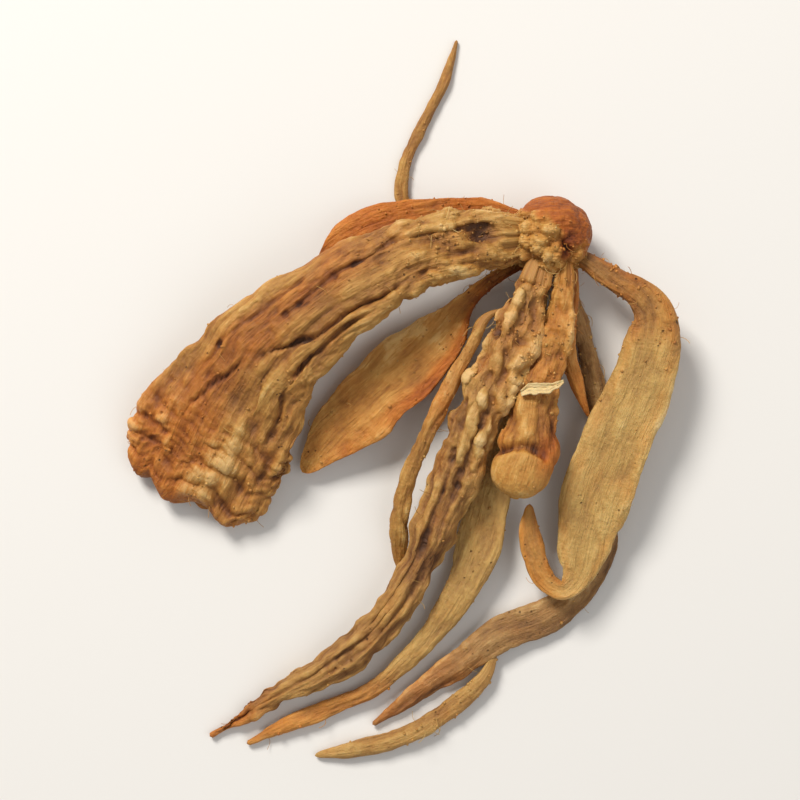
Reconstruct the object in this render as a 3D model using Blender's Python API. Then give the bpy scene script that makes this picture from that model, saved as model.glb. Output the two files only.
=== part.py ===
"""A dried cordyceps: one clump of fruit bodies grown from a single base, lying on a flat surface.

The base is a rounded knob with a flat underside, and the origin is the middle of that flat face.
Each stalk is one solid, swept along a smooth curve through a few stations, with a gap of about
0.3 mm to the base, or to the stalk that it branches from. +Z is up, and the longest stalks point
towards -Y.
"""

import math

import bmesh
import bpy
from mathutils import Matrix, Vector

MM = 0.001

# The base: a slightly squashed ball, sunk a little below the surface and cut flat there.
BASE_RADII = (2.7 * MM, 2.6 * MM, 2.7 * MM)
BASE_CENTRE = (0.0, 0.0, 2.5 * MM)
BASE_SEGMENTS = 28
BASE_RINGS = 18

# Sweeps: how many sections a stalk gets, and over what share of its width its tip rounds off.
SECTIONS_PER_MM = 0.8
FEWEST_SECTIONS = 14
TIP_SECTIONS = 4
BLUNT_TIP = 0.16
ROUND_TIP = 0.9

# Dried colours, as linear RGB.
ORANGE = (0.352, 0.107, 0.022)
AMBER = (0.319, 0.127, 0.032)
TAN = (0.397, 0.196, 0.065)
PALE = (0.448, 0.253, 0.098)
BROWN = (0.188, 0.070, 0.023)

# Every stalk is (colour, sides of its section, tip, stations). A station is x, y, z of the middle,
# the width and thickness, all in millimetres, and the roll of the section in degrees.
STALKS = {
    # The widest one: several fruit bodies fused side by side into a ribbed fan with a blunt end.
    "broad_stalk": (AMBER, 20, BLUNT_TIP, [
        (-3.3, -0.3, 3.5, 3.7, 2.0, 0),
        (-6.0, -0.6, 4.3, 4.6, 1.9, 4),
        (-9.0, -1.4, 4.8, 4.9, 1.8, 8),
        (-12.5, -3.1, 4.8, 5.6, 1.8, 6),
        (-15.9, -5.3, 4.4, 6.6, 1.8, 3),
        (-18.9, -8.1, 3.6, 8.1, 1.8, 0),
        (-21.1, -11.1, 2.7, 9.8, 1.8, -2),
        (-23.1, -14.6, 1.6, 10.8, 1.7, -2),
        (-24.7, -17.6, 0.75, 9.4, 1.5, 0),
    ]),
    # A short smooth one that lies along the fan's upper edge.
    "flap_stalk": (ORANGE, 12, ROUND_TIP, [
        (-2.8, 1.3, 2.0, 1.3, 1.0, 0),
        (-5.6, 1.7, 1.9, 1.8, 1.0, 0),
        (-8.6, 1.4, 2.2, 2.3, 1.0, 5),
        (-11.4, 0.7, 2.4, 2.9, 1.0, 8),
        (-13.4, -0.3, 2.3, 2.7, 0.9, 8),
        (-15.4, -1.7, 2.1, 1.4, 0.7, 6),
    ]),
    # A smooth flat blade between the fan and the bundle, on a thin root.
    "blade_stalk": (ORANGE, 14, ROUND_TIP, [
        (-2.3, -1.9, 1.3, 0.9, 0.8, 0),
        (-4.2, -3.1, 1.3, 1.0, 0.8, 0),
        (-5.7, -4.6, 1.6, 1.5, 0.9, 5),
        (-7.3, -6.6, 2.0, 3.5, 0.9, 10),
        (-9.3, -8.6, 2.1, 4.7, 0.9, 12),
        (-11.6, -10.6, 1.9, 5.0, 0.9, 12),
        (-13.7, -12.5, 1.5, 4.3, 0.9, 10),
        (-15.2, -14.1, 1.2, 3.0, 0.9, 8),
        (-16.6, -15.8, 0.9, 1.6, 0.8, 4),
    ]),
    # The longest and thickest one, wrinkled along its length.
    "main_stalk": (TAN, 14, ROUND_TIP, [
        (-1.2, -3.1, 3.4, 2.0, 1.8, 0),
        (-1.9, -5.2, 3.6, 2.3, 1.9, 5),
        (-2.8, -7.4, 3.7, 2.6, 2.0, 10),
        (-4.2, -10.2, 3.6, 2.9, 2.1, 14),
        (-5.2, -12.8, 3.4, 3.2, 2.1, 10),
        (-6.1, -15.4, 3.1, 3.4, 2.1, 0),
        (-7.2, -18.2, 2.8, 3.1, 2.0, -8),
        (-8.4, -21.2, 2.4, 2.8, 2.0, -12),
        (-10.0, -24.1, 2.1, 2.8, 1.8, -6),
        (-12.0, -26.6, 1.8, 2.7, 1.6, 0),
        (-14.5, -28.7, 1.6, 2.5, 1.5, 0),
        (-17.2, -30.3, 1.2, 2.1, 1.3, 5),
        (-19.6, -31.6, 0.7, 1.5, 1.0, 0),
        (-21.5, -32.7, 0.4, 0.9, 0.8, 0),
        (-22.9, -33.7, 0.27, 0.5, 0.6, 0),
    ]),
    # A thin one that leaves the main stalk's side, bows out to the left and passes back under it.
    "bow_stalk": (AMBER, 10, ROUND_TIP, [
        (-4.7, -6.0, 3.2, 0.8, 0.8, 0),
        (-5.8, -8.3, 3.2, 1.1, 0.9, 5),
        (-7.0, -10.5, 3.2, 1.1, 0.9, 10),
        (-8.0, -12.7, 3.2, 1.1, 0.9, 10),
        (-9.0, -14.9, 2.9, 1.2, 0.9, 10),
        (-9.8, -17.2, 2.4, 1.3, 0.9, 0),
        (-10.2, -19.4, 1.8, 1.3, 0.9, 0),
        (-10.2, -21.4, 1.1, 1.2, 0.8, 0),
        (-9.7, -23.1, 0.6, 0.9, 0.7, 0),
    ]),
    # Runs under the bundle, shows as a broad pale blade, then narrows beside the main stalk's tip.
    "twin_stalk": (PALE, 12, ROUND_TIP, [
        (-0.6, -3.0, 1.2, 1.3, 1.1, 0),
        (-1.3, -7.5, 1.0, 1.5, 1.1, 0),
        (-2.4, -12.5, 1.1, 1.8, 1.1, 0),
        (-3.8, -17.2, 1.2, 2.5, 1.1, 5),
        (-4.8, -21.0, 1.4, 3.0, 1.1, 8),
        (-6.0, -23.8, 1.3, 2.4, 1.1, 8),
        (-7.7, -26.4, 1.0, 1.7, 1.1, 0),
        (-9.7, -28.7, 0.8, 1.3, 1.0, 0),
        (-12.0, -30.6, 0.6, 1.2, 0.9, 0),
        (-15.0, -31.9, 0.4, 1.2, 0.8, 0),
        (-18.0, -33.0, 0.35, 1.0, 0.8, 0),
        (-20.4, -34.2, 0.25, 0.6, 0.6, 0),
    ]),
    # A short one that broadens and ends in a rounded head.
    "knob_stalk": (ORANGE, 14, ROUND_TIP, [
        (0.9, -3.1, 3.5, 1.2, 1.3, 0),
        (0.5, -5.6, 3.5, 1.4, 1.4, 0),
        (-0.2, -8.2, 3.6, 1.9, 1.5, 0),
        (-1.0, -10.6, 3.8, 2.8, 1.6, 0),
        (-1.4, -12.8, 4.0, 3.5, 1.9, 0),
        (-1.8, -14.7, 4.1, 3.4, 2.4, 0),
        (-2.2, -16.1, 4.0, 3.0, 2.5, 0),
        (-2.5, -17.3, 3.8, 2.3, 2.1, 0),
    ]),
    # A fine one to the right of the bundle.
    "thread_stalk": (ORANGE, 8, ROUND_TIP, [
        (1.5, -2.8, 2.1, 0.9, 0.7, 0),
        (1.3, -5.0, 2.2, 1.0, 0.7, 0),
        (1.3, -7.3, 2.2, 1.0, 0.7, 0),
        (1.7, -9.6, 2.1, 1.0, 0.7, 0),
        (2.6, -12.1, 1.8, 0.7, 0.5, 0),
    ]),
    # Bends round to the right and comes back as a broad pale tongue, whose end hooks up again.
    "tongue_stalk": (PALE, 14, ROUND_TIP, [
        (2.7, -1.9, 2.8, 1.4, 1.2, 0),
        (4.4, -3.0, 3.0, 1.7, 1.1, 5),
        (6.2, -4.2, 3.1, 2.2, 1.0, 8),
        (6.9, -6.0, 3.1, 3.2, 1.0, 8),
        (6.4, -8.4, 3.0, 4.2, 1.1, 6),
        (5.5, -11.0, 2.8, 4.6, 1.1, 2),
        (4.3, -13.8, 2.6, 4.7, 1.1, 0),
        (3.3, -16.4, 2.4, 4.9, 1.2, -2),
        (2.6, -18.8, 2.2, 4.6, 1.2, -4),
        (2.2, -20.8, 2.1, 3.6, 1.1, -4),
        (1.9, -22.5, 2.0, 2.2, 1.0, -2),
        (0.9, -23.6, 2.0, 1.3, 0.9, 0),
        (-0.4, -22.9, 2.0, 1.5, 0.8, 0),
        (-1.1, -21.2, 2.1, 1.7, 0.8, 0),
        (-1.4, -19.4, 2.2, 1.6, 0.8, 0),
        (-1.4, -17.9, 2.2, 0.9, 0.7, 0),
    ]),
    # Lies on the surface under the tongue and comes out across the bottom.
    "lower_stalk": (BROWN, 12, ROUND_TIP, [
        (1.2, -3.0, 0.9, 1.2, 1.0, 0),
        (2.6, -8.0, 0.7, 1.3, 1.0, 0),
        (3.6, -13.0, 0.45, 1.5, 0.95, 0),
        (3.9, -18.0, 0.4, 1.8, 0.9, 0),
        (3.2, -22.3, 0.4, 2.1, 0.9, 0),
        (0.6, -25.2, 0.5, 2.4, 0.9, 0),
        (-3.2, -26.8, 0.6, 2.3, 0.9, 5),
        (-6.0, -28.8, 0.5, 1.8, 0.8, 0),
        (-8.4, -30.5, 0.4, 1.3, 0.8, 0),
        (-10.4, -31.9, 0.35, 1.0, 0.7, 0),
        (-11.9, -32.9, 0.3, 0.6, 0.5, 0),
    ]),
    # The lower stalk's second arm, from its fork.
    "fork_stalk": (TAN, 12, ROUND_TIP, [
        (-4.6, -30.0, 0.6, 1.1, 0.8, 0),
        (-5.8, -31.2, 0.55, 1.3, 0.8, 0),
        (-7.9, -32.6, 0.5, 1.3, 0.8, 0),
        (-10.4, -33.9, 0.4, 1.3, 0.85, 0),
        (-13.0, -34.5, 0.35, 1.2, 0.75, 0),
        (-15.8, -35.0, 0.25, 0.7, 0.6, 0),
    ]),
    # A long thin one that passes under the fan and comes out beyond its upper edge.
    "rising_stalk": (AMBER, 10, ROUND_TIP, [
        (-2.9, 0.7, 0.9, 0.8, 0.7, 0),
        (-5.6, 0.0, 0.7, 0.8, 0.7, 0),
        (-8.4, 0.5, 0.5, 0.85, 0.7, 0),
        (-9.9, 2.6, 0.35, 0.9, 0.7, 0),
        (-9.6, 5.2, 0.28, 0.9, 0.7, 0),
        (-8.3, 8.0, 0.28, 0.8, 0.7, 0),
        (-6.9, 10.8, 0.27, 0.8, 0.65, 0),
        (-6.2, 13.4, 0.2, 0.5, 0.5, 0),
    ]),
}


def dried(name, colour):
    """The plain material of one dried piece."""
    material = bpy.data.materials.new(name)
    material.use_nodes = True
    shader = material.node_tree.nodes["Principled BSDF"]
    shader.inputs["Base Color"].default_value = (*colour, 1)
    shader.inputs["Roughness"].default_value = 0.6
    shader.inputs["Metallic"].default_value = 0
    material.diffuse_color = (*colour, 1)
    return material


def add_node(name, bm, colour):
    """One closed solid as an object of its own, cut flat where it meets the surface it lies on."""
    whole = bm.verts[:] + bm.edges[:] + bm.faces[:]
    bmesh.ops.bisect_plane(bm, geom=whole, plane_co=(0, 0, 0), plane_no=(0, 0, -1), clear_outer=True)
    open_edges = [edge for edge in bm.edges if edge.is_boundary]
    if open_edges:
        bmesh.ops.holes_fill(bm, edges=open_edges)
    bmesh.ops.recalc_face_normals(bm, faces=bm.faces[:])
    mesh = bpy.data.meshes.new(name)
    bm.to_mesh(mesh)
    bm.free()
    mesh.shade_smooth()
    mesh.set_sharp_from_angle(angle=math.radians(50))
    mesh.materials.append(dried(name, colour))
    node = bpy.data.objects.new(name, mesh)
    bpy.context.scene.collection.objects.link(node)
    return node


def curve_at(stations, share):
    """The Catmull-Rom curve through the stations, at a share of its length in stations."""
    last = len(stations) - 1
    along = min(share, 1.0) * last
    index = min(int(along), last - 1)
    t = along - index
    before = stations[max(index - 1, 0)]
    start = stations[index]
    end = stations[index + 1]
    after = stations[min(index + 2, last)]
    values = []
    for a, b, c, d in zip(before, start, end, after):
        cubic = -a + 3 * b - 3 * c + d
        square = 2 * a - 5 * b + 4 * c - d
        values.append(0.5 * (2 * b + (c - a) * t + square * t * t + cubic * t * t * t))
    return values


def length_of(stations):
    """The length of the straight runs between the stations."""
    middles = [Vector(station[:3]) for station in stations]
    return sum((b - a).length for a, b in zip(middles, middles[1:]))


def section_shares(stations, tip):
    """Where the sections go and how far each is drawn in: evenly, then closer together as the tip rounds."""
    length = length_of(stations)
    rounded = tip * stations[-1][3] / length
    count = max(FEWEST_SECTIONS, round(SECTIONS_PER_MM * length))
    shares = [(i / count * (1 - rounded), 1.0) for i in range(count + 1)]
    for i in range(1, TIP_SECTIONS + 1):
        turn = math.pi / 2 * i / (TIP_SECTIONS + 0.5)
        shares.append((1 - rounded + rounded * math.sin(turn), math.cos(turn)))
    return shares


def sweep(stations, sides, tip):
    """A closed tube of oval sections along the stations' curve, with a flat root and a rounded tip."""
    bm = bmesh.new()
    shares = section_shares(stations, tip)
    step = 0.004
    previous = None
    for i, (share, drawn_in) in enumerate(shares):
        x, y, z, width, thickness, roll = curve_at(stations, share)
        ahead = Vector(curve_at(stations, min(share + step, 1.0))[:3])
        behind = Vector(curve_at(stations, max(share - step, 0.0))[:3])
        along = (ahead - behind).normalized()
        across = along.cross(Vector((0, 0, 1))).normalized()
        across.rotate(Matrix.Rotation(math.radians(roll), 3, along))
        up = across.cross(along)
        frame = Matrix((across, up, along)).transposed().to_4x4()
        size = Matrix.Diagonal((width / 2 * drawn_in * MM, thickness / 2 * drawn_in * MM, 1, 1))
        place = Matrix.Translation(Vector((x, y, z)) * MM) @ frame @ size
        closed = i in (0, len(shares) - 1)
        ring = bmesh.ops.create_circle(bm, cap_ends=closed, segments=sides, radius=1, matrix=place)
        verts = set(ring["verts"])
        edges = [edge for edge in bm.edges if verts.issuperset(edge.verts)]
        if previous:
            bmesh.ops.bridge_loops(bm, edges=previous + edges)
        previous = edges
    return bm


def base():
    """The knob that every stalk grows from."""
    bm = bmesh.new()
    place = Matrix.Translation(BASE_CENTRE) @ Matrix.Diagonal((*BASE_RADII, 1))
    bmesh.ops.create_uvsphere(bm, u_segments=BASE_SEGMENTS, v_segments=BASE_RINGS, radius=1, matrix=place)
    return add_node("base", bm, ORANGE)


def main():
    for obj in list(bpy.data.objects):
        bpy.data.objects.remove(obj)
    base()
    for name, (colour, sides, tip, stations) in STALKS.items():
        add_node(name, sweep(stations, sides, tip), colour)


main()
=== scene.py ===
"""Looks for the dried cordyceps: wrinkled stalks with grains and fuzz, a floor, light and a camera.

Every stalk follows the rings of its plain solid in the frame. Lengths are in millimetres until a mesh
is made. On a stalk, `along` runs from root to tip, `across` from -1 to 1 over its width and `up` from
-1 under it to 1 on top.
"""

import math

import bmesh
import bpy
import numpy as np
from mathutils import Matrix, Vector


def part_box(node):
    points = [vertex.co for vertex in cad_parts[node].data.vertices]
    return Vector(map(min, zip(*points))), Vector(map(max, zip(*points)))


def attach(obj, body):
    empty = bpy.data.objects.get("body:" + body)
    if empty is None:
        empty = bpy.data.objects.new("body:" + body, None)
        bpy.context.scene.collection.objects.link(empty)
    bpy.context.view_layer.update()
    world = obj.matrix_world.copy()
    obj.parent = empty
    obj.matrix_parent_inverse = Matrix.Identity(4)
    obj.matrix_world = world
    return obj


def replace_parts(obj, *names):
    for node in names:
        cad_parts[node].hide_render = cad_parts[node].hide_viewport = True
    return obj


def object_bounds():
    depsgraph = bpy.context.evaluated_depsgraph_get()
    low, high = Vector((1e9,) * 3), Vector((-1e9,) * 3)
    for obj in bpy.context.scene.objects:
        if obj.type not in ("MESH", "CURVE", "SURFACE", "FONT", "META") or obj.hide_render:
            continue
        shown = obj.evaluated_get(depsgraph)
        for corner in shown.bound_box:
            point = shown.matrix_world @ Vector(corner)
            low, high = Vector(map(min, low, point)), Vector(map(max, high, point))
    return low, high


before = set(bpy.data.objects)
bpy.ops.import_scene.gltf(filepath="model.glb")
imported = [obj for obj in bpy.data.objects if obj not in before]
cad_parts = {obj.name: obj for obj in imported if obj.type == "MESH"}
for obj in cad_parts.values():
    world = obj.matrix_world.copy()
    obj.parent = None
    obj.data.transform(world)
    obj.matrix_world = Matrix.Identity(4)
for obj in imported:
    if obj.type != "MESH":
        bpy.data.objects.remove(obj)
CAD_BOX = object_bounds()
MM = 0.001

# How finely a stalk is made: the spacing of its rings, and of the points round a ring.
RING_STEP = 0.11
POINT_STEP = 0.11
FEWEST_POINTS = 40

# A stalk's ends: the rings in its buried root, the widths of the rings that close its tip, the
# roundness of that tip, and how far back from it the stalk has withered.
ROOT_STEPS = 8
TIP_CLOSING = (0.85, 0.6, 0.3)
TIP_ROUNDNESS = 0.5
WITHERED_LENGTH = 3.2

# Half the thickness below which a stalk is carved less deeply, the least share of the depth that is
# left, and the least that half a width or a thickness may be.
THIN = 0.42
LEAST_CARVED = 0.3
THINNEST = 0.03

# The lowest that a point lies above the surface.
RESTING = 0.01

# Reading the solids: corners this close are one, corners this low rest on the surface (both in
# metres), faces this parallel are one flat end, and points this near to the furthest are its side.
SAME_POINT = 1e-7
ON_SURFACE = 1e-6
PARALLEL = 0.9995
TIE = 0.03

# Noise is stretched by these, so that its values reach about 1.
NOISE_GAIN = 1.6
CREASE_GAIN = 1.8
LUMP_SHARPNESS = 1.6


# ---- noise

def shuffle_of(seed):
    """A shuffled byte table and the unit slopes of gradient noise, the same for a given seed."""
    maker = np.random.default_rng(seed)
    slopes = maker.normal(size=(256, 3))
    return maker.permutation(256), slopes / np.linalg.norm(slopes, axis=1, keepdims=True)


def noise(spots, seed):
    """Smooth gradient noise at an array of 3-D spots, about -1 to 1, one bump to a unit."""
    table, slopes = shuffle_of(seed)
    cell = np.floor(spots).astype(int)
    part = spots - cell
    ease = part * part * part * (part * (part * 6 - 15) + 10)
    total = np.zeros(spots.shape[:-1])
    for corner in np.ndindex(2, 2, 2):
        at = (cell + corner) & 255
        pick = table[(table[(table[at[..., 0]] + at[..., 1]) & 255] + at[..., 2]) & 255]
        weight = np.prod(np.where(np.array(corner) == 1, ease, 1 - ease), axis=-1)
        total += weight * np.sum(slopes[pick] * (part - corner), axis=-1)
    return total * NOISE_GAIN


def layered(spots, seed, layers=3, fade=0.5):
    """Several sizes of noise added up, each twice as fine as the last."""
    total = np.zeros(spots.shape[:-1])
    for layer in range(layers):
        total += noise(spots * 2 ** layer, seed + layer) * fade ** layer
    return total


def creased(spots, seed):
    """Rounded crests with sharp valleys between them, 0 in a valley to about 1."""
    return np.minimum(np.abs(noise(spots, seed)) * CREASE_GAIN, 1.2)


def lumps(spots, seed):
    """Packed round lumps, 1 at the middle of each and 0 between them."""
    cell = np.floor(spots).astype(int)
    part = spots - cell
    places = np.random.default_rng(seed).random((256, 3))
    table, _ = shuffle_of(seed)
    nearest = np.full(spots.shape[:-1], 9.0)
    for step in np.ndindex(3, 3, 3):
        offset = np.array(step) - 1
        at = (cell + offset) & 255
        pick = table[(table[(table[at[..., 0]] + at[..., 1]) & 255] + at[..., 2]) & 255]
        nearest = np.minimum(nearest, np.sum((offset + places[pick] - part) ** 2, axis=-1))
    return np.clip(1 - nearest * LUMP_SHARPNESS, 0, 1)


def rise(value, start, end):
    """A smooth step: 0 at start, 1 at end."""
    t = np.clip((value - start) / (end - start), 0, 1)
    return t * t * (3 - 2 * t)


def hill(value, middle, spread):
    """A smooth hill, 1 at its middle."""
    return np.exp(-((value - middle) / spread) ** 2)


# ---- the frame's rings

def root_end(bm, root):
    """The corners of the flat end that looks at the root, which may be made of several faces."""
    def looks_at_root(face):
        return face.normal.dot((root - face.calc_center_median()).normalized())

    nearest = min(bm.verts, key=lambda v: (v.co - root).length)
    end = max(nearest.link_faces, key=looks_at_root)
    found, waiting = {end}, [end]
    while waiting:
        for edge in waiting.pop().edges:
            for face in edge.link_faces:
                if face not in found and face.normal.dot(end.normal) > PARALLEL:
                    found.add(face)
                    waiting.append(face)
    return {corner for face in found for corner in face.verts}


def rings_of(node, grows_from):
    """The rings of points of a stalk's plain solid, from its root end to its tip, in millimetres."""
    bm = bmesh.new()
    bm.from_mesh(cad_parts[node].data)
    bmesh.ops.remove_doubles(bm, verts=bm.verts[:], dist=SAME_POINT)
    resting = [f for f in bm.faces if all(v.co.z < ON_SURFACE for v in f.verts)]
    bmesh.ops.delete(bm, geom=resting, context="FACES")
    bm.verts.index_update()
    level = root_end(bm, Vector(grows_from) * MM)
    rings, seen = [], set()
    while level:
        in_order = sorted(level, key=lambda v: v.index)
        rings.append(np.array([v.co[:] for v in in_order]) / MM)
        seen |= level
        level = {e.other_vert(v) for v in level for e in v.link_edges} - seen
    bm.free()
    return [ring for ring in rings if len(ring) > 3]


def direction_of(centres):
    """Unit directions along a row of centres."""
    ahead = np.gradient(centres, axis=0)
    return ahead / np.linalg.norm(ahead, axis=1, keepdims=True)


def sideways_of(ahead):
    """The level direction to the left of each direction, seen from above."""
    side = np.cross(ahead, (0.0, 0.0, 1.0))
    return side / np.linalg.norm(side, axis=1, keepdims=True)


def roll_of(flat):
    """The slope of the line between a section's two sides; points that tie for a side are averaged."""
    sides = []
    for end in (flat[:, 0].min(), flat[:, 0].max()):
        sides.append(np.average(flat, axis=0, weights=np.exp(-np.abs(flat[:, 0] - end) / TIE)))
    across, up = sides[1] - sides[0]
    return math.atan2(up, across)


def sections_of(node, grows_from):
    """One row for each ring: its middle, half its width, half its thickness and its roll."""
    rings = rings_of(node, grows_from)
    ahead = direction_of(np.array([ring.mean(axis=0) for ring in rings]))
    side = sideways_of(ahead)
    top = np.cross(side, ahead)
    rows = []
    for ring, left, high in zip(rings, side, top):
        flat = np.column_stack([ring @ left, ring @ high])
        middle = (flat.min(axis=0) + flat.max(axis=0)) / 2
        roll = roll_of(flat)
        centre = ring.mean(axis=0)
        centre = centre + left * (middle[0] - centre @ left) + high * (middle[1] - centre @ high)
        level_axes = np.array([[math.cos(roll), -math.sin(roll)], [math.sin(roll), math.cos(roll)]])
        rows.append([*centre, *np.ptp((flat - middle) @ level_axes, axis=0) / 2, roll])
    return np.array(rows)


def smooth_rows(rows, places, wanted):
    """Catmull-Rom through the rows, which sit at these places, at the wanted places."""
    index = np.clip(np.searchsorted(places, wanted, side="right") - 1, 0, len(places) - 2)
    t = ((wanted - places[index]) / (places[index + 1] - places[index]))[:, None]
    padded = np.vstack([2 * rows[0] - rows[1], rows, 2 * rows[-1] - rows[-2]])
    a, b, c, d = (padded[index + k] for k in range(4))
    cubic = -a + 3 * b - 3 * c + d
    square = 2 * a - 5 * b + 4 * c - d
    return 0.5 * (2 * b + (c - a) * t + square * t ** 2 + cubic * t ** 3)


# ---- the stalks' skin

class Skin:
    """A stalk's surface as a grid of points: a row for each ring, a column for each angle round it."""

    def __init__(self, sections, grows_from, seed, squareness=1.0, withering=0.0):
        steps = np.linalg.norm(np.diff(sections[:, :3], axis=0), axis=1)
        places = np.concatenate([[0], np.cumsum(steps)])
        self.seed = seed
        self.length = places[-1]
        count = int(self.length / RING_STEP)
        self.rows = smooth_rows(sections, places, np.linspace(0, self.length, count))
        self.rows[:, 3:5] = np.maximum(self.rows[:, 3:5], THINNEST)
        from_tip = np.linspace(self.length, 0, count)[:, None]
        self.rows[:, 3:5] *= 1 - withering * (1 - rise(from_tip, -0.5, WITHERED_LENGTH))
        self.along = np.linspace(0, self.length, count)[:, None]
        widest = self.rows[:, 3].max() + self.rows[:, 4].max()
        around = max(FEWEST_POINTS, int(math.pi * widest / POINT_STEP))
        angle = np.linspace(0, math.tau, around, endpoint=False)[None, :]
        self.across = np.sign(np.cos(angle)) * np.abs(np.cos(angle)) ** squareness
        self.up = np.sign(np.sin(angle)) * np.abs(np.sin(angle)) ** squareness
        self.half_width = self.rows[:, 3:4]
        self.half_thickness = self.rows[:, 4:5]
        self.from_tip = self.length - self.along
        self.grows_from = np.array(grows_from, float)
        self.straight = np.stack(np.broadcast_arrays(
            self.along, self.across * self.half_width, self.up * self.half_thickness), axis=-1)
        self.relief = np.zeros(self.straight.shape[:2])
        self.shade = np.zeros(self.relief.shape)
        self.stain = np.zeros(self.relief.shape)
        self.crumbly = 0.04 + 0.5 * (1 - rise(self.along, 1, 12))
        self.sway()
        self.place()

    def spots(self, along, across, slant=0.0):
        """The straightened surface's spots, scaled to so many bumps a millimetre each way."""
        slanted = self.straight + (0.0, slant, 0.0) * self.straight[..., :1]
        return slanted * (along, across, across) + self.seed * 3.7

    def drift(self, amount, along, across, seed):
        """Smooth offsets, which bend a pattern's lines when they are added to its spots."""
        return amount * noise(self.spots(along, across), seed)[..., None]

    def sunken(self, depth):
        """A lift that hollows the upper side this deep along its middle."""
        return -depth * (1 - self.across ** 2) * rise(self.up, 0, 0.6)

    def sway(self, wander=0.16, swell=0.10):
        """Lets the middle wander and the width swell a little, as nothing that grows is even."""
        line = self.along * (0.22, 0.0, 0.0)
        held = rise(self.along[:, 0], 0, 3) * rise(self.from_tip[:, 0], 0, 3)
        self.rows[:, 0] += noise(line + 11.3 + self.seed, 1) * wander * held
        self.rows[:, 1] += noise(line + 27.1 + self.seed, 2) * wander * held
        swollen = 1 + swell * noise(line * 1.7 + 43.9 + self.seed, 3)
        self.half_width = self.half_width * swollen[:, None]

    def place(self, rim=None, lift=None, forward=None):
        """Puts the grid's points in space, each with the direction that it faces."""
        ahead = direction_of(self.rows[:, :3])
        side = sideways_of(ahead)
        top = np.cross(side, ahead)
        roll = self.rows[:, 5:6]
        left = side * np.cos(roll) + top * np.sin(roll)
        high = top * np.cos(roll) - side * np.sin(roll)
        x = self.across * self.half_width + (0 if rim is None else rim)
        z = self.up * self.half_thickness + (0 if lift is None else lift)
        x, z = np.broadcast_arrays(x, z)
        middles = self.rows[:, None, :3]
        self.points = middles + x[..., None] * left[:, None] + z[..., None] * high[:, None]
        if forward is not None:
            self.points = self.points + forward[..., None] * ahead[:, None]
        self.refresh()

    def refresh(self):
        """Works out which way each point faces."""
        lengthways = np.gradient(self.points, axis=0)
        roundways = np.roll(self.points, -1, axis=1) - np.roll(self.points, 1, axis=1)
        facing = np.cross(roundways, lengthways)
        facing /= np.maximum(np.linalg.norm(facing, axis=-1, keepdims=True), 1e-9)
        outward = self.points - self.rows[:, None, :3]
        self.facing = facing * np.sign(np.sum(facing * outward))

    def carve(self, height, shade=0.0, fade_tip=0.8):
        """Raises the skin by this height, and adds this shade: painted shade where it is lowered, a
        painted highlight where raised.
        """
        height = np.broadcast_to(height, self.relief.shape) * rise(self.from_tip, 0, fade_tip)
        height = height * np.clip(self.half_thickness / THIN, LEAST_CARVED, 1)
        self.points = self.points + self.facing * height[..., None]
        self.relief = self.relief + height
        self.shade = self.shade + shade
        self.refresh()

    def buried_root(self):
        """Rings that bend smoothly from inside what the stalk grows from to the skin's first ring."""
        first = self.points[0]
        start = first.mean(axis=0)
        ahead = direction_of(self.rows[:, :3])[0]
        bend = start - ahead * np.linalg.norm(start - self.grows_from) * 0.5
        rings = []
        for t in np.arange(ROOT_STEPS) / ROOT_STEPS:
            centre = (1 - t) ** 2 * self.grows_from + 2 * t * (1 - t) * bend + t ** 2 * start
            rings.append(centre + (first - start) * (0.5 + 0.5 * t))
        return rings

    def closed_tip(self):
        """Shrinking rings that round off the tip, and the point where they meet."""
        last = self.points[-1]
        middle = last.mean(axis=0)
        ahead = direction_of(self.rows[:, :3])[-1]
        reach = np.linalg.norm(last - middle, axis=1).mean() * TIP_ROUNDNESS
        rings = []
        for share in TIP_CLOSING:
            rings.append(middle + (last - middle) * share + ahead * reach * math.sqrt(1 - share ** 2))
        return rings, middle + ahead * reach

    def mesh(self, name):
        """The closed mesh: a root buried in what the stalk grew from, the skin, and a closed tip."""
        closing, tip = self.closed_tip()
        grid = np.concatenate([self.buried_root(), self.points, closing])
        grid[..., 2] = np.maximum(grid[..., 2], RESTING)
        rows, cols = grid.shape[:2]
        ends = np.array([grid[0].mean(axis=0), tip])
        corners = np.arange(rows * cols).reshape(rows, cols)
        beside = np.roll(corners, -1, axis=1)
        quads = np.stack([corners[:-1], beside[:-1], beside[1:], corners[1:]], axis=-1).reshape(-1, 4)
        root_fan = np.column_stack([beside[0], corners[0], np.full(cols, rows * cols)])
        tip_fan = np.column_stack([corners[-1], beside[-1], np.full(cols, rows * cols + 1)])
        mesh = bpy.data.meshes.new(name)
        vertices = np.concatenate([grid.reshape(-1, 3), ends]) * MM
        mesh.from_pydata(vertices.tolist(), [], quads.tolist() + root_fan.tolist() + tip_fan.tolist())
        if signed_volume(mesh) < 0:
            mesh.flip_normals()
        mesh.shade_smooth()
        self.store_on(mesh)
        return mesh

    def store_on(self, mesh):
        """Stores the skin's values on its mesh; the root and the tip repeat the ring beside them."""
        added = (ROOT_STEPS, len(TIP_CLOSING))
        for label in ("relief", "shade", "stain", "crumbly"):
            whole = np.broadcast_to(getattr(self, label), self.relief.shape)
            spread = np.pad(whole, (added, (0, 0)), mode="edge").ravel()
            add_numbers(mesh, label, np.append(spread, [spread[0], spread[-1]]))
        straight = np.pad(self.straight, (added, (0, 0), (0, 0)), mode="edge").reshape(-1, 3)
        add_vectors(mesh, "straight", np.vstack([straight, straight[:1], straight[-1:]]))


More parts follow.
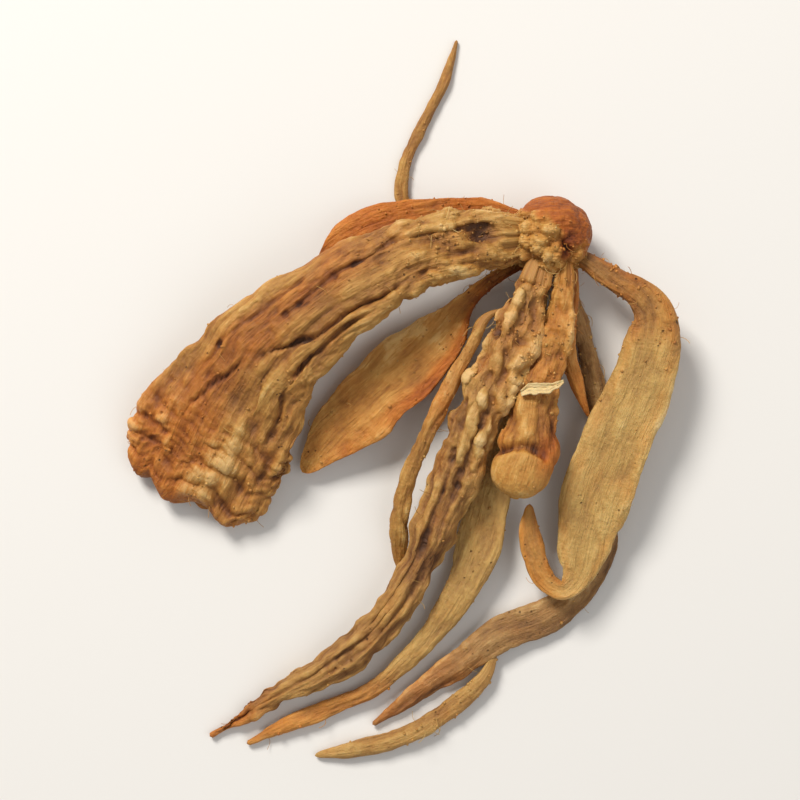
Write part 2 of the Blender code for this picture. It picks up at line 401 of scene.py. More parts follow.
def signed_volume(mesh):
    """The mesh's volume, negative where its faces point inwards."""
    mesh.calc_loop_triangles()
    count = len(mesh.loop_triangles)
    corners = np.empty(count * 3, np.int32)
    mesh.loop_triangles.foreach_get("vertices", corners)
    spots = np.empty(len(mesh.vertices) * 3, np.float32)
    mesh.vertices.foreach_get("co", spots)
    a, b, c = spots.reshape(-1, 3)[corners.reshape(-1, 3)].transpose(1, 0, 2).astype(float)
    return float(np.einsum("ij,ij->", a, np.cross(b, c)))


def add_numbers(mesh, label, values):
    """Stores one number a point on the mesh."""
    attribute = mesh.attributes.new(label, "FLOAT", "POINT")
    attribute.data.foreach_set("value", values.astype(np.float32))


def add_vectors(mesh, label, values):
    """Stores one vector a point on the mesh."""
    attribute = mesh.attributes.new(label, "FLOAT_VECTOR", "POINT")
    attribute.data.foreach_set("vector", values.astype(np.float32).ravel())


def added(name, data):
    """An object in the scene that shows this mesh, light or camera."""
    thing = bpy.data.objects.new(name, data)
    bpy.context.scene.collection.objects.link(thing)
    return thing


# ---- finishes

class Wire:
    """A number that varies over the surface. Arithmetic on it adds Math nodes to its tree."""

    def __init__(self, tree, socket):
        self.tree = tree
        self.socket = socket

    def maths(self, operation, *values):
        node = self.tree.node("ShaderNodeMath", {"operation": operation}, dict(enumerate(values)))
        return Wire(self.tree, node.outputs[0])

    def __add__(self, other):
        return self.maths("ADD", self, other)

    def __sub__(self, other):
        return self.maths("SUBTRACT", self, other)

    def __rsub__(self, other):
        return self.maths("SUBTRACT", other, self)

    def __mul__(self, other):
        return self.maths("MULTIPLY", self, other)

    __radd__ = __add__
    __rmul__ = __mul__

    def between(self, low, high):
        """0 below low, 1 above high, smooth between them."""
        settings = {"interpolation_type": "SMOOTHSTEP"}
        inputs = {"Value": self, "From Min": low, "From Max": high, "To Min": 0.0, "To Max": 1.0}
        return Wire(self.tree, self.tree.node("ShaderNodeMapRange", settings, inputs).outputs[0])


class Tree:
    """A node tree while it is made, and the one way to add a node to it."""

    def __init__(self, tree):
        self.tree = tree

    def feed(self, socket, value):
        """Sets a socket, or links it to a wire or to another node's socket."""
        if isinstance(value, Wire):
            self.tree.links.new(value.socket, socket)
        elif isinstance(value, bpy.types.NodeSocket):
            self.tree.links.new(value, socket)
        else:
            socket.default_value = value

    def node(self, kind, settings=None, inputs=None):
        """Any node, with its settings made before its sockets are fed."""
        node = self.tree.nodes.new(kind)
        for name, value in (settings or {}).items():
            if name == "stops":
                self.set_stops(node.color_ramp, value)
            else:
                setattr(node, name, value)
        for name, value in (inputs or {}).items():
            self.feed(node.inputs[name], value)
        return node

    def set_stops(self, ramp, stops):
        """Puts a ramp's colours at their places."""
        while len(ramp.elements) < len(stops):
            ramp.elements.new(0.5)
        for element, (place, colour) in zip(ramp.elements, stops):
            element.position = place
            element.color = (*colour, 1)


class Finish(Tree):
    """One material while it is made."""

    def __init__(self, name):
        self.material = bpy.data.materials.new(name)
        self.material.use_nodes = True
        super().__init__(self.material.node_tree)
        self.shader = self.tree.nodes["Principled BSDF"]

    def attribute(self, name, output="Fac"):
        """A value stored on the mesh."""
        socket = self.node("ShaderNodeAttribute", {"attribute_name": name}).outputs[output]
        return Wire(self, socket) if output == "Fac" else socket

    def scaled(self, vector, scale):
        """A vector stretched by three numbers."""
        node = self.node("ShaderNodeVectorMath", {"operation": "MULTIPLY"}, {0: vector, 1: scale})
        return node.outputs[0]

    def noise(self, vector, scale, detail=4.0, roughness=0.55):
        """Cloudy noise, 0 to 1, so many bumps to a millimetre."""
        inputs = {"Vector": vector, "Scale": scale, "Detail": detail, "Roughness": roughness}
        return Wire(self, self.node("ShaderNodeTexNoise", {}, inputs).outputs["Fac"])

    def cells(self, vector, scale):
        """Distance to the nearest of many scattered points."""
        inputs = {"Vector": vector, "Scale": scale, "Randomness": 1.0}
        return Wire(self, self.node("ShaderNodeTexVoronoi", {}, inputs).outputs["Distance"])

    def blend(self, first, second, amount, how="MIX"):
        """Two colours mixed by an amount."""
        settings = {"data_type": "RGBA", "blend_type": how}
        node = self.node("ShaderNodeMix", settings, {0: amount, 6: first, 7: second})
        return node.outputs[2]

    def bump(self, height):
        """A bumped normal, from a height in millimetres."""
        inputs = {"Height": height, "Distance": MM, "Strength": 1.0}
        return self.node("ShaderNodeBump", {}, inputs).outputs["Normal"]

    def shown(self, values):
        """The material, once these sockets of its shader are fed."""
        for label, value in values.items():
            self.feed(self.shader.inputs[label], value)
        return self.material


# Where a finish's six tones lie, from the deepest crease (painted shade) to the palest crest (painted
# highlight), and the colours that multiply them in stained places and cover worn, highlit crests.
TONE_PLACES = (0.0, 0.16, 0.38, 0.62, 0.84, 1.0)
STAIN_COLOUR = (1.05, 0.62, 0.26, 1)
WORN_AND_HIGHLIT_COLOUR = (0.62, 0.42, 0.19, 1)


def dried_flesh(name, tones, dust_and_highlight=0.35, streaks=1.0, shine=0.38):
    """Dried fungal flesh, streaked lengthways: painted shade in creases, painted highlight and wear on
    crests.
    """
    finish = Finish(name)
    straight = finish.attribute("straight", "Vector")
    relief = finish.attribute("relief")
    shade = finish.attribute("shade")
    streak = finish.noise(finish.scaled(straight, (0.30, 2.4, 2.4)), 1.0, detail=6.0, roughness=0.65)
    fibre = finish.noise(finish.scaled(straight, (0.9, 6.5, 6.5)), 1.0, detail=4.0, roughness=0.6)
    mottle = finish.noise(straight, 0.5, detail=5.0, roughness=0.62)
    speckle = finish.noise(straight, 4.5, detail=4.0, roughness=0.7)
    # Relief and shade paint shade into creases and shadowed places and a highlight onto crests; shade
    # also holds the flesh's own tones.
    level = (0.60 + relief * 0.62 + shade * 0.40 + (streak - 0.5) * 0.75 * streaks
             + (fibre - 0.5) * 0.55 * streaks + (mottle - 0.5) * 0.22 + (speckle - 0.5) * 0.22)
    stops = list(zip(TONE_PLACES, tones))
    ramp = finish.node("ShaderNodeValToRGB", {"stops": stops}, {"Fac": level})
    warmth = finish.attribute("stain") + (mottle - 0.46) * 1.1 + (streak - 0.5) * 0.5
    warm = finish.blend(ramp.outputs["Color"], STAIN_COLOUR, 1.0, "MULTIPLY")
    colour = finish.blend(ramp.outputs["Color"], warm, warmth.between(-0.1, 1.0) * 0.9)
    # Crests take the worn colour, which is partly real wear and partly a painted highlight.
    worn_and_highlit = (speckle * 0.7 + relief * 0.8 + fibre * 0.5).between(0.68, 1.05) * dust_and_highlight
    colour = finish.blend(colour, WORN_AND_HIGHLIT_COLOUR, worn_and_highlit)
    pores = 1 - finish.cells(straight, 2.1).between(0.07, 0.2)
    pored = pores * finish.noise(straight, 0.45, detail=2.0).between(0.52, 0.66)
    colour = finish.blend(colour, (*tones[0], 1), pored * 0.8)
    grains = 1 - finish.cells(finish.scaled(straight, (3.6, 4.6, 4.6)), 1.0)
    crinkle = finish.noise(finish.scaled(straight, (4.2, 1.5, 1.5)), 1.0, detail=5.0, roughness=0.65)
    height = (streak * 0.22 + fibre * 0.11 + crinkle * 0.065 + grains * 0.035 + speckle * 0.03
              - pored * 0.12)
    return finish.shown({
        "Base Color": colour, "Roughness": 0.46 + speckle * 0.22 - relief * 0.15,
        "Normal": finish.bump(height), "Specular IOR Level": shine, "Subsurface Weight": 0.10,
        "Subsurface Radius": (1.0, 0.38, 0.12), "Subsurface Scale": 0.3 * MM})


# ---- the base

BASE_LOW, BASE_HIGH = (np.array(corner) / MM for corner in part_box("base"))
BASE_MIDDLE = (BASE_LOW + BASE_HIGH) / 2
BASE_DIVISIONS = 7
CRUMBLED_SIDE = np.array([-0.52, -0.79, 0.32])
SCAR_SIDE = np.array([0.38, -0.40, 0.83])


def finished_piece(name, mesh, material):
    """A mesh as a finished piece: its material on, riding with the clump."""
    mesh.materials.append(material)
    piece = added(name, mesh)
    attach(piece, "root")
    return piece


def base_mesh():
    """The knob: a smooth orange cap that crumbles into pale lumps where the bundle leaves it."""
    bm = bmesh.new()
    bmesh.ops.create_icosphere(bm, subdivisions=BASE_DIVISIONS, radius=1)
    mesh = bpy.data.meshes.new("base")
    bm.to_mesh(mesh)
    bm.free()
    outward = np.empty(len(mesh.vertices) * 3, np.float32)
    mesh.vertices.foreach_get("co", outward)
    outward = outward.reshape(-1, 3).astype(float)
    half = (BASE_HIGH - BASE_LOW) / 2
    crumbled = rise(outward @ CRUMBLED_SIDE + 0.30 * noise(outward * 2.6, 61), -0.16, 0.26)
    from_scar = (outward - SCAR_SIDE / np.linalg.norm(SCAR_SIDE)) * (1.6, 0.7, 1.0)
    ragged = 0.10 * noise(outward * 4.1, 66)
    scar = hill(np.linalg.norm(from_scar, axis=1) + ragged, 0, 0.32)
    folds = creased(outward * (1.5, 2.2, 1.8) + 5.1, 62)
    dimples = layered(outward * 3.5, 63)
    knobs = lumps(outward * 2.9 + 9.7, 64)
    beads = lumps(outward * 6.3 + 2.1, 65)
    smooth = 1 - crumbled
    height = (smooth * (0.12 * (folds - 0.5) + 0.06 * dimples) - 0.28 * scar
              + crumbled * (0.60 * knobs + 0.16 * beads - 0.36))
    spots = BASE_MIDDLE + outward * (half + height[:, None])
    spots[:, 2] = np.maximum(spots[:, 2], 0.0)
    mesh.vertices.foreach_set("co", (spots * MM).astype(np.float32).ravel())
    mesh.shade_smooth()
    # The relief paints shade into the cap's folds and between the lumps, and a highlight on the lumps.
    relief = (folds - 0.5) * 0.14 * smooth + crumbled * ((knobs - 0.45) * 0.55 + (beads - 0.5) * 0.15)
    add_numbers(mesh, "relief", relief - scar * 0.25)
    add_numbers(mesh, "shade", crumbled * 0.20 - 0.46 * smooth - scar * 1.1)
    add_numbers(mesh, "stain", np.clip(1 - crumbled + scar, 0, 1))
    add_numbers(mesh, "crumbly", crumbled)
    add_vectors(mesh, "straight", spots)
    return mesh


# ---- what grows on the skins

# How thickly they grow where the skin is crumbly, to a square metre, and their sizes.
CRUMB_SIZES = {"Density": 4.5e6, "Smallest": 0.035 * MM, "Largest": 0.16 * MM}
FIBRE_SIZES = {"Density": 0.9e6, "Shortest": 0.35 * MM, "Longest": 1.1 * MM, "Slenderness": 0.022}


def joined(name, meshes):
    """One mesh that holds all of these, with their attributes."""
    bm = bmesh.new()
    for mesh in meshes:
        bm.from_mesh(mesh)
    whole = bpy.data.meshes.new(name)
    bm.to_mesh(whole)
    bm.free()
    return whole


def growth_tree(name, sizes):
    """A Geometry Nodes tree with a skin and these named sizes coming in, and a growth going out."""
    group = bpy.data.node_groups.new(name, "GeometryNodeTree")
    group.interface.new_socket("Growth", in_out="OUTPUT", socket_type="NodeSocketGeometry")
    group.interface.new_socket("Skin", in_out="INPUT", socket_type="NodeSocketGeometry")
    for label in sizes:
        group.interface.new_socket(label, in_out="INPUT", socket_type="NodeSocketFloat")
    return Tree(group)


def scattered_spots(tree, given, seed):
    """Spots over the skin, as thick as the skin is crumbly."""
    crumbly = tree.node("GeometryNodeInputNamedAttribute", {"data_type": "FLOAT"}, {"Name": "crumbly"})
    thickness = Wire(tree, given["Density"]) * Wire(tree, crumbly.outputs["Attribute"])
    inputs = {"Mesh": given["Skin"], "Density": thickness, "Seed": seed}
    return tree.node("GeometryNodeDistributePointsOnFaces", {}, inputs).outputs


def random_number(tree, low, high, seed):
    """A random number for each spot."""
    inputs = {2: low, 3: high, "Seed": seed}
    return tree.node("FunctionNodeRandomValue", {"data_type": "FLOAT"}, inputs).outputs[1]


def random_vector(tree, low, high, seed):
    """A random vector for each spot."""
    inputs = {0: low, 1: high, "Seed": seed}
    return tree.node("FunctionNodeRandomValue", {"data_type": "FLOAT_VECTOR"}, inputs).outputs[0]


def finish_tree(tree, instances, material, palest, seed):
    """Makes the instances real, each with a paleness of its own, smooth and in this material."""
    paleness = random_number(tree, -0.3, palest, seed)
    toned = tree.node("GeometryNodeStoreNamedAttribute", {"data_type": "FLOAT", "domain": "INSTANCE"},
                      {"Geometry": instances, "Name": "shade", "Value": paleness})
    real = tree.node("GeometryNodeRealizeInstances", {}, {"Geometry": toned.outputs[0]})
    smooth = tree.node("GeometryNodeSetShadeSmooth", {}, {"Geometry": real.outputs[0]})
    inputs = {"Geometry": smooth.outputs[0], "Material": material}
    done = tree.node("GeometryNodeSetMaterial", {}, inputs)
    tree.node("NodeGroupOutput", {}, {"Growth": done.outputs[0]})
    return tree


def crumbs_tree(material):
    """Small rough grains of dried tissue, stuck where the skin crumbles."""
    tree = growth_tree("crumbs", CRUMB_SIZES)
    given = tree.node("NodeGroupInput").outputs
    spots = scattered_spots(tree, given, 5)
    grain = tree.node("GeometryNodeMeshIcoSphere", {}, {"Radius": 1.0, "Subdivisions": 1})
    size = random_number(tree, given["Smallest"], given["Largest"], 6)
    shape = tree.node("ShaderNodeVectorMath", {"operation": "SCALE"},
                      {0: random_vector(tree, (0.6, 0.6, 0.4), (1.3, 1.1, 0.9), 7), "Scale": size})
    turned = random_vector(tree, (0, 0, 0), (math.tau, math.tau, math.tau), 8)
    placed = tree.node("GeometryNodeInstanceOnPoints", {}, {
        "Points": spots["Points"], "Instance": grain.outputs["Mesh"], "Rotation": turned,
        "Scale": shape.outputs[0]})
    return finish_tree(tree, placed.outputs[0], material, 0.35, 9)


def fibres_tree(material):
    """Short bent fibres of the felt that held the clump together, standing off the skin."""
    tree = growth_tree("fibres", FIBRE_SIZES)
    given = tree.node("NodeGroupInput").outputs
    spots = scattered_spots(tree, given, 15)
    bend = tree.node("GeometryNodeCurveQuadraticBezier", {}, {
        "Resolution": 6, "Start": (0, 0, -0.05), "Middle": (0, 0.1, 0.45), "End": (0.75, 0, 0.5)})
    ring = tree.node("GeometryNodeCurvePrimitiveCircle", {"mode": "RADIUS"},
                     {"Resolution": 3, "Radius": given["Slenderness"]})
    fibre = tree.node("GeometryNodeCurveToMesh", {}, {
        "Curve": bend.outputs[0], "Profile Curve": ring.outputs[0], "Fill Caps": True})
    leaning = random_vector(tree, (-0.7, -0.7, 0), (0.7, 0.7, math.tau), 16)
    turned = tree.node("FunctionNodeRotateRotation", {"rotation_space": "LOCAL"},
                       {"Rotation": spots["Rotation"], "Rotate By": leaning})
    size = random_number(tree, given["Shortest"], given["Longest"], 17)
    placed = tree.node("GeometryNodeInstanceOnPoints", {}, {
        "Points": spots["Points"], "Instance": fibre.outputs[0], "Rotation": turned.outputs[0],
        "Scale": size})
    return finish_tree(tree, placed.outputs[0], material, 0.6, 18)


def grown_on(host, name, tree, sizes):
    """What a tree grows on a host mesh, as a plain mesh."""
    growing = added(name, host)
    modifier = growing.modifiers.new(name, "NODES")
    modifier.node_group = tree.tree
    for item in tree.tree.interface.items_tree:
        if item.name in sizes:
            modifier[item.identifier] = sizes[item.name]
    evaluated = growing.evaluated_get(bpy.context.evaluated_depsgraph_get())
    mesh = bpy.data.meshes.new_from_object(evaluated)
    growing.modifiers.remove(modifier)
    bpy.data.objects.remove(growing)
    mesh.materials.clear()
    for vert in mesh.vertices:
        vert.co.z = max(vert.co.z, RESTING * MM)
    return mesh


FLAKE_START = np.array([-2.1, -10.5, 4.75])
FLAKE_END = np.array([0.7, -9.8, 4.55])
FLAKE_WIDTH = 0.95
FLAKE_THICKNESS = 0.09
FLAKE_STEPS = (40, 12)


def flake_mesh():
    """A shred of pale dry skin, bent over the knob stalk, ragged at its edges."""
    bm = bmesh.new()
    bmesh.ops.create_grid(bm, x_segments=FLAKE_STEPS[0], y_segments=FLAKE_STEPS[1], size=1)
    spots = np.array([v.co[:] for v in bm.verts])
    along, across = (spots[:, 0] + 1) / 2, spots[:, 1]
    line = FLAKE_START + along[:, None] * (FLAKE_END - FLAKE_START)
    ragged = 1 + 0.35 * noise(np.column_stack([along * 7, across * 0.6, 0 * along]), 95)
    taper = (0.25 + 0.75 * np.sin(math.pi * np.clip(along, 0.04, 0.96)) ** 0.5) * (1 - 0.5 * along)
    side = across * FLAKE_WIDTH / 2 * ragged * taper
    curl = 0.18 * across ** 2 + 0.10 * noise(np.column_stack([along * 5, across * 2, 0 * along]), 96)
    line[:, 0] -= side * 0.25
    line[:, 1] += side + 0.12 * np.sin(along * 7)
    line[:, 2] += 0.35 * np.sin(math.pi * along) - 0.075 * across + curl
    for vert, spot in zip(bm.verts, line):
        vert.co = spot * MM
    bmesh.ops.recalc_face_normals(bm, faces=bm.faces[:])
    bmesh.ops.solidify(bm, geom=bm.faces[:], thickness=FLAKE_THICKNESS * MM)
    bmesh.ops.recalc_face_normals(bm, faces=bm.faces[:])
    mesh = bpy.data.meshes.new("flake")
    bm.to_mesh(mesh)
    bm.free()
    mesh.shade_smooth()
    placed = np.array([v.co[:] for v in mesh.vertices]) / MM
    for label, value in (("relief", 0.2), ("shade", 1.0), ("stain", 0.0)):
        add_numbers(mesh, label, np.full(len(placed), value))
    add_vectors(mesh, "straight", placed)
    return mesh


# ---- the stalks

def wrinkle(skin, folds=0.16, fineness=0.9, crinkles=0.05, lumpiness=0.0, bent=0.35):
    """Dries a stalk: long wandering folds, small crosswise crinkles and, where wanted, packed lumps."""
    sagging = layered(skin.spots(0.3, 0.45), skin.seed + 1)
    skin.carve(sagging * 0.10, sagging * 0.15)
    drift = skin.drift(bent, 0.35, 0.4, skin.seed + 6)
    crests = creased(skin.spots(0.14, fineness) + drift, skin.seed + 2)
    skin.carve((crests - 0.5) * folds, (crests - 0.5) * 0.35)
    if np.any(lumpiness):
        knobs = lumps(skin.spots(0.48, 0.72) + 2.0 * drift, skin.seed + 3)
        beads = lumps(skin.spots(1.3, 1.5) + drift, skin.seed + 7)
        skin.carve(((knobs - 0.4) * 0.36 + (beads - 0.5) * 0.15) * lumpiness,
                   ((knobs - 0.45) * 0.22 + (beads - 0.5) * 0.15) * lumpiness)
    fine = creased(skin.spots(0.9, 2.0) + 2 * drift, skin.seed + 4)
    skin.carve((fine - 0.5) * crinkles, (fine - 0.5) * 0.25)
    rough = layered(skin.spots(2.2, 2.6), skin.seed + 8, layers=2)
    skin.carve(rough * 0.022, rough * 0.10)
    return skin


def pits(skin, seed, where, depth):
    """A few small ragged pits where this is above 0, darkened with painted shade."""
    kept = rise(noise(skin.spots(0.7, 0.9), seed + 1), -0.35, 0.0)
    ragged = 0.06 * noise(skin.spots(2.5, 2.5), seed + 2)
    holes = rise(lumps(skin.spots(1.0, 1.1), seed) + ragged, 0.80, 0.98) * kept * where
    skin.carve(-holes * depth, -holes * depth * 3.2)


def pleats(skin, seed, period, where, depth):
    """Rounded pleats that run parallel to the stalk's end."""
    wavy = 1.1 * noise(skin.spots(0.0, 0.30), seed) + 0.5 * noise(skin.spots(0.5, 0.6), seed + 1)
    crests = np.abs(np.sin(math.pi * (skin.from_tip + wavy) / period)) ** 0.7
    patchy = where * rise(noise(skin.spots(0.2, 0.45), seed + 2), -0.5, 0.2)
    skin.carve((crests - 0.62) * depth * patchy, (crests - 0.62) * 0.5 * patchy)


def groove(skin, places, sides, width, depth):
    """A long groove that passes these places along the stalk at these distances across it."""
    middle = np.interp(skin.along + 0 * skin.across, places, sides)
    middle = middle + 0.05 * noise(skin.spots(0.5, 0.0), skin.seed + 9)
    cut = hill((skin.across - middle) * skin.half_width, 0, width)
    cut = cut * rise(skin.along, places[0] - 1.5, places[0] + 1.5)
    cut = cut * (1 - rise(skin.along, places[-1] - 1.0, places[-1] + 1.5))
    # The groove is darkened with painted shade.
    skin.carve(-cut * depth, -cut * 0.32)


# The fan's grooves: places along it, how far across it each passes there, its width and its depth.
FAN_GROOVES = (
    ((8, 12, 14, 18), (-0.62, -0.52, -0.42, 0.04), 0.15, 0.50),
    ((19, 21, 23.5), (0.22, 0.36, 0.47), 0.13, 0.36),
    ((11, 14, 18), (-0.80, -0.66, -0.56), 0.13, 0.34),
    ((2, 8, 15), (0.35, 0.42, 0.30), 0.13, 0.26),
    ((17, 20, 23), (-0.20, -0.22, -0.30), 0.10, 0.20),
    ((16, 19, 22), (-0.62, -0.60, -0.66), 0.11, 0.26),
    ((20, 22, 24), (0.00, 0.05, 0.02), 0.10, 0.18),
    ((13, 17, 21), (0.66, 0.62, 0.70), 0.10, 0.16),
)


def broad_stalk(skin):
    """The fan: fused ribs with grooves between them, pitted on one side, with a pleated hem."""
    hem = rise(skin.along, skin.length - 8.5, skin.length - 5)
    lower = rise(-skin.across, -0.35, 0.25)
    crumpled = 1 - rise(skin.along, 5, 12)
    fan_outline(skin)
    fan_ribs(skin, lower, crumpled)
    fan_hem(skin, hem)
    fan_root(skin, crumpled)
    pitted = rise(skin.along, 9, 11) * (1 - rise(skin.along, 19, 23))
    pits(skin, 76, hill(skin.across, 0.50, 0.28) * pitted, 0.22)
    fan_tones(skin, hem, lower, crumpled)
    skin.crumbly = skin.crumbly + 0.10 * hem
    return wrinkle(skin, folds=0.09, fineness=1.3, crinkles=0.08)


def fan_outline(skin):
    """Arches the fan, ripples its rims and lets its end stand out in lobes."""
    arch = 0.30 * (1 - skin.across ** 2) * rise(skin.along, 2, 10)
    ripple = 0.40 * skin.across ** 2 * noise(skin.spots(0.22, 0.12), 73)
    lobes = creased(skin.spots(0.0, 0.42), 72) - 0.5
    skin.place(lift=arch + ripple, forward=rise(skin.along, skin.length - 4, skin.length) * lobes)


def fan_ribs(skin, lower, crumpled):
    """Wide ribs all over, narrow strips on the lower side, and the grooves."""
    ribs = creased(skin.spots(0.045, 0.55) + skin.drift(0.5, 0.2, 0.2, 70), 74)
    skin.carve((ribs - 0.5) * (0.20 + 0.12 * lower - 0.08 * crumpled), (ribs - 0.5) * 0.22)
    strips = creased(skin.spots(0.05, 1.0) + skin.drift(0.4, 0.25, 0.3, 69), 68)
    skin.carve((strips - 0.5) * 0.20 * lower * rise(skin.along, 9, 13), (strips - 0.5) * 0.25 * lower)
    for line in FAN_GROOVES:
        groove(skin, *line)


def fan_hem(skin, hem):
    """A step up to the hem, then pleats in two sizes, puckered."""
    skin.carve(hem * 0.06 - hill(skin.from_tip, 8.0, 0.8) * 0.12, hem * 0.04)
    pleats(skin, 75, 1.45, hem, 0.30)
    pleats(skin, 65, 0.62, hem, 0.09)
    puckers = creased(skin.spots(0.5, 0.7) + skin.drift(1, 0.5, 0.5, 79), 78)
    skin.carve((puckers - 0.5) * 0.13 * hem, (puckers - 0.5) * 0.20 * hem)


def fan_root(skin, crumpled):
    """Lumps of two sizes, and one hollow near the base, darkened with painted shade."""
    clods = lumps(skin.spots(0.62, 0.8) + skin.drift(0.6, 0.5, 0.5, 81), 80)
    bits = lumps(skin.spots(1.5, 1.7), 82)
    skin.carve(((clods - 0.45) * 0.40 + (bits - 0.5) * 0.14) * crumpled,
               ((clods - 0.45) * 0.22 + (bits - 0.5) * 0.15) * crumpled)
    hollow = hill(np.hypot(skin.along - 1.8, skin.across * skin.half_width - 0.5), 0, 0.75)
    hollow = hollow * rise(skin.up, 0, 0.5)
    # Painted shade darkens the hollow.
    skin.carve(-0.40 * hollow, -0.55 * hollow)


def fan_tones(skin, hem, lower, crumpled):
    """Orange on the upper side, golden on the lower side and along the rims, with a painted highlight
    on the rims.
    """
    far_rim = hill(skin.across, 0.86, 0.16) * rise(skin.along, 10, 14) * (1 - hem)
    skin.stain = np.clip(0.05 + 0.30 * hill(skin.from_tip, 0.4, 1.0) + 0.50 * (1 - lower) + 0.18 * hem
                         - 0.5 * crumpled - 0.55 * far_rim, 0, 1)
    # far_rim and the two rim hills below also add a painted highlight along the rims.
    skin.shade = (skin.shade + 0.26 * lower * rise(skin.along, 8, 16) * (1 - 0.8 * hem)
                  + 0.04 * crumpled - 0.06 * (1 - lower) - 0.10 * hem + 0.30 * far_rim
                  + 0.30 * hill(skin.across, -0.92, 0.14) * hill(skin.along, 12, 5)
                  + 0.32 * hill(skin.across, -0.80, 0.20) * hill(skin.along, 3.5, 4))


def flap_stalk(skin):
    """Smooth and orange, a little hollow along its middle."""
    skin.place(lift=skin.sunken(0.25))
    skin.stain = 0.75 + 0.25 * noise(skin.spots(0.3, 0.5), 81)
    return wrinkle(skin, folds=0.10, crinkles=0.04)


def blade_stalk(skin):
    """A smooth flat golden blade with thicker rims, one of them red, on a thin root painted dark as
    shadow.
    """
    ripple = 0.25 * skin.across ** 2 * noise(skin.spots(0.2, 0.1), 82)
    skin.place(lift=skin.sunken(0.28) + ripple)
    red_rim = rise(-skin.across, 0.50, 0.90) * (1 - rise(skin.along, 9, 14))
    skin.stain = np.clip(0.8 * red_rim + 0.30 * rise(-skin.across, 0.2, 0.8) + 0.22
                         + 0.2 * noise(skin.spots(0.3, 0.4), 83), 0, 1)
    # Painted light: lighter all over against the fan's cast shadow, a shadow on the root, shade on the
    # red rim, a highlight on the other rim; lighter about 7.5 mm along.
    skin.shade = (skin.shade + 0.36 - 0.40 * red_rim - 0.8 * (1 - rise(skin.along, 3.0, 6.5))
                  + 0.40 * hill(skin.across, 0.90, 0.14) + 0.25 * hill(skin.along, 7.5, 1.5))
    return wrinkle(skin, folds=0.07, fineness=0.7, crinkles=0.04)


def main_stalk(skin):
    """Knobbly near the base, then ridged, then paler and drawn out to a thin reddish tip."""
    knobbly = 1 - rise(skin.along, 9, 20)
    frill = noise(skin.spots(0.8, 0.0), 84) * np.abs(skin.across) ** 3
    spread = 0.45 * rise(-skin.across, 0.2, 1.0) * hill(skin.along, 4.5, 3.5)
    skin.place(rim=frill * 0.30 * np.sign(skin.across) - spread)
    ribs = creased(skin.spots(0.07, 0.85) + skin.drift(0.4, 0.3, 0.3, 83), 85)
    skin.carve((ribs - 0.5) * 0.36, (ribs - 0.5) * 0.4)
    chain = 1 - rise(skin.along, 6, 10)
    clods = lumps(skin.spots(0.62, 0.84) + skin.drift(0.8, 0.6, 0.7, 65), 66)
    skin.carve((clods - 0.45) * 0.36 * chain, (clods - 0.5) * 0.20 * chain)
    braided = creased(skin.spots(0.20, 0.75, slant=0.55), 67) * hill(skin.along, 11, 6)
    skin.carve((braided - 0.4) * 0.26, (braided - 0.4) * 0.25)
    groove(skin, (9, 13, 22, 30), (-0.35, -0.15, -0.3, -0.2), 0.14, 0.18)
    groove(skin, (9, 18, 26), (0.45, 0.35, 0.5), 0.13, 0.16)
    groove(skin, (24, 30, 38), (0.1, 0.2, 0.0), 0.12, 0.20)
    pits(skin, 86, hill(skin.along, 11, 6), 0.14)
    skin.shade = (skin.shade - 0.08 + 0.18 * rise(skin.along, 18, 26) + 0.12 * hill(skin.along, 13, 6)
                  + 0.12 * hill(skin.along, 3.5, 3.5))
    skin.stain = np.clip(0.9 * rise(skin.along, skin.length - 7, skin.length) + 0.18 * knobbly
                         + 0.35 * knobbly * noise(skin.spots(0.45, 0.5), 90), 0, 1)
    return wrinkle(skin, folds=0.18, crinkles=0.08, lumpiness=knobbly)


def bow_stalk(skin):
    """Thin and ridged: a golden strip beside the main stalk, redder where they part, then pale."""
    skin.stain = np.clip(0.15 + 0.45 * hill(skin.along, 5.5, 1.6) - 0.3 * rise(skin.along, 7, 10), 0, 1)
    skin.shade = skin.shade + 0.12 + 0.12 * rise(skin.along, 8, 11)
    skin.crumbly = skin.crumbly * 0.5
    return wrinkle(skin, folds=0.16, crinkles=0.05)


def twin_stalk(skin):
    """A dull pale blade that narrows into a thin orange end."""
    skin.place(lift=skin.sunken(0.2) * hill(skin.along, 18, 6))
    skin.stain = 0.7 * rise(skin.along, 26, 32)
    return wrinkle(skin, folds=0.12, crinkles=0.05)


